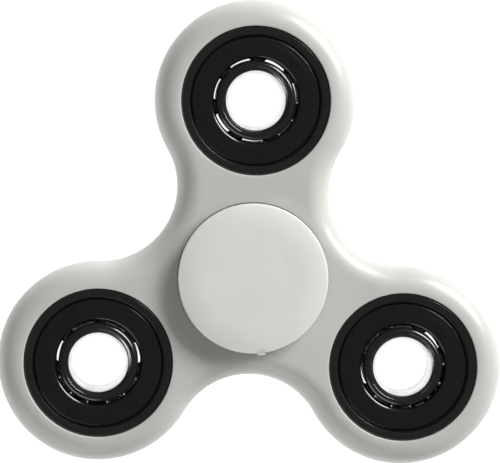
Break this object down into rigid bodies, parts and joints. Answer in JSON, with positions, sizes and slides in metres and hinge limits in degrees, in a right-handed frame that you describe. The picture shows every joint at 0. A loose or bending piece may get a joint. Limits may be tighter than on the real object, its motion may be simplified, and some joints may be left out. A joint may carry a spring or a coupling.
{
  "type": "fidget spinner",
  "caption": "Flat three-lobed finger spinner: a moulded body turning on a centre bearing between two thumb caps, with an open ring bearing in each lobe.",
  "frame": {"origin": "centre of the back thumb cap's flat face, on the spin axis", "axes": "+Z along the spin axis and out of the front cap, +Y from the centre towards the top lobe, +X to the right as the front is seen with the top lobe up"},
  "size_m": [0.0746, 0.0686, 0.013],
  "materials": {
    "body_plastic": "milky translucent moulded plastic, satin",
    "cap_plastic": "milky moulded plastic, satin",
    "bearing_steel": "black oxide, ground and polished",
    "shield_steel": "black, satin",
    "ball_steel": "polished",
    "cage_steel": "pressed sheet, plain"
  },
  "bodies": {
    "grip": {"front_cap": "cap_plastic", "back_cap": "cap_plastic", "centre_inner_ring": "bearing_steel"},
    "rotor": {"body": "body_plastic", "centre_outer_ring": "bearing_steel", "centre_front_shield": "shield_steel", "centre_back_shield": "shield_steel", "top_outer_ring": "bearing_steel", "top_front_shield": "shield_steel", "top_back_shield": "shield_steel", "left_outer_ring": "bearing_steel", "left_front_shield": "shield_steel", "left_back_shield": "shield_steel", "right_outer_ring": "bearing_steel", "right_front_shield": "shield_steel", "right_back_shield": "shield_steel"},
    "centre_rollers": {"centre_balls": "ball_steel", "centre_front_cage": "cage_steel", "centre_back_cage": "cage_steel", "centre_cage_rivets": "cage_steel"},
    "top_inner": {"top_inner_ring": "bearing_steel"},
    "top_rollers": {"top_balls": "ball_steel", "top_front_cage": "cage_steel", "top_back_cage": "cage_steel", "top_cage_rivets": "cage_steel"},
    "left_inner": {"left_inner_ring": "bearing_steel"},
    "left_rollers": {"left_balls": "ball_steel", "left_front_cage": "cage_steel", "left_back_cage": "cage_steel", "left_cage_rivets": "cage_steel"},
    "right_inner": {"right_inner_ring": "bearing_steel"},
    "right_rollers": {"right_balls": "ball_steel", "right_front_cage": "cage_steel", "right_back_cage": "cage_steel", "right_cage_rivets": "cage_steel"}
  },
  "joints": [
    {"name": "spin", "type": "hinge", "parent": "grip", "child": "rotor", "pos_m": [0, 0, 0.0065], "axis": [0, 0, 1], "continuous": true},
    {"name": "centre_cage_turn", "type": "hinge", "parent": "grip", "child": "centre_rollers", "pos_m": [0, 0, 0.0065], "axis": [0, 0, 1], "continuous": true},
    {"name": "top_ring_turn", "type": "hinge", "parent": "rotor", "child": "top_inner", "pos_m": [0, 0.026, 0.0065], "axis": [0, 0, 1], "continuous": true},
    {"name": "top_cage_turn", "type": "hinge", "parent": "rotor", "child": "top_rollers", "pos_m": [0, 0.026, 0.0065], "axis": [0, 0, 1], "continuous": true},
    {"name": "left_ring_turn", "type": "hinge", "parent": "rotor", "child": "left_inner", "pos_m": [-0.02252, -0.013, 0.0065], "axis": [0, 0, 1], "continuous": true},
    {"name": "left_cage_turn", "type": "hinge", "parent": "rotor", "child": "left_rollers", "pos_m": [-0.02252, -0.013, 0.0065], "axis": [0, 0, 1], "continuous": true},
    {"name": "right_ring_turn", "type": "hinge", "parent": "rotor", "child": "right_inner", "pos_m": [0.02252, -0.013, 0.0065], "axis": [0, 0, 1], "continuous": true},
    {"name": "right_cage_turn", "type": "hinge", "parent": "rotor", "child": "right_rollers", "pos_m": [0.02252, -0.013, 0.0065], "axis": [0, 0, 1], "continuous": true}
  ],
  "couplings": [
    {"joint": "centre_cage_turn", "follows": "spin", "ratio": 0.6323},
    {"joint": "top_cage_turn", "follows": "top_ring_turn", "ratio": 0.3677},
    {"joint": "left_cage_turn", "follows": "left_ring_turn", "ratio": 0.3677},
    {"joint": "right_cage_turn", "follows": "right_ring_turn", "ratio": 0.3677}
  ]
}
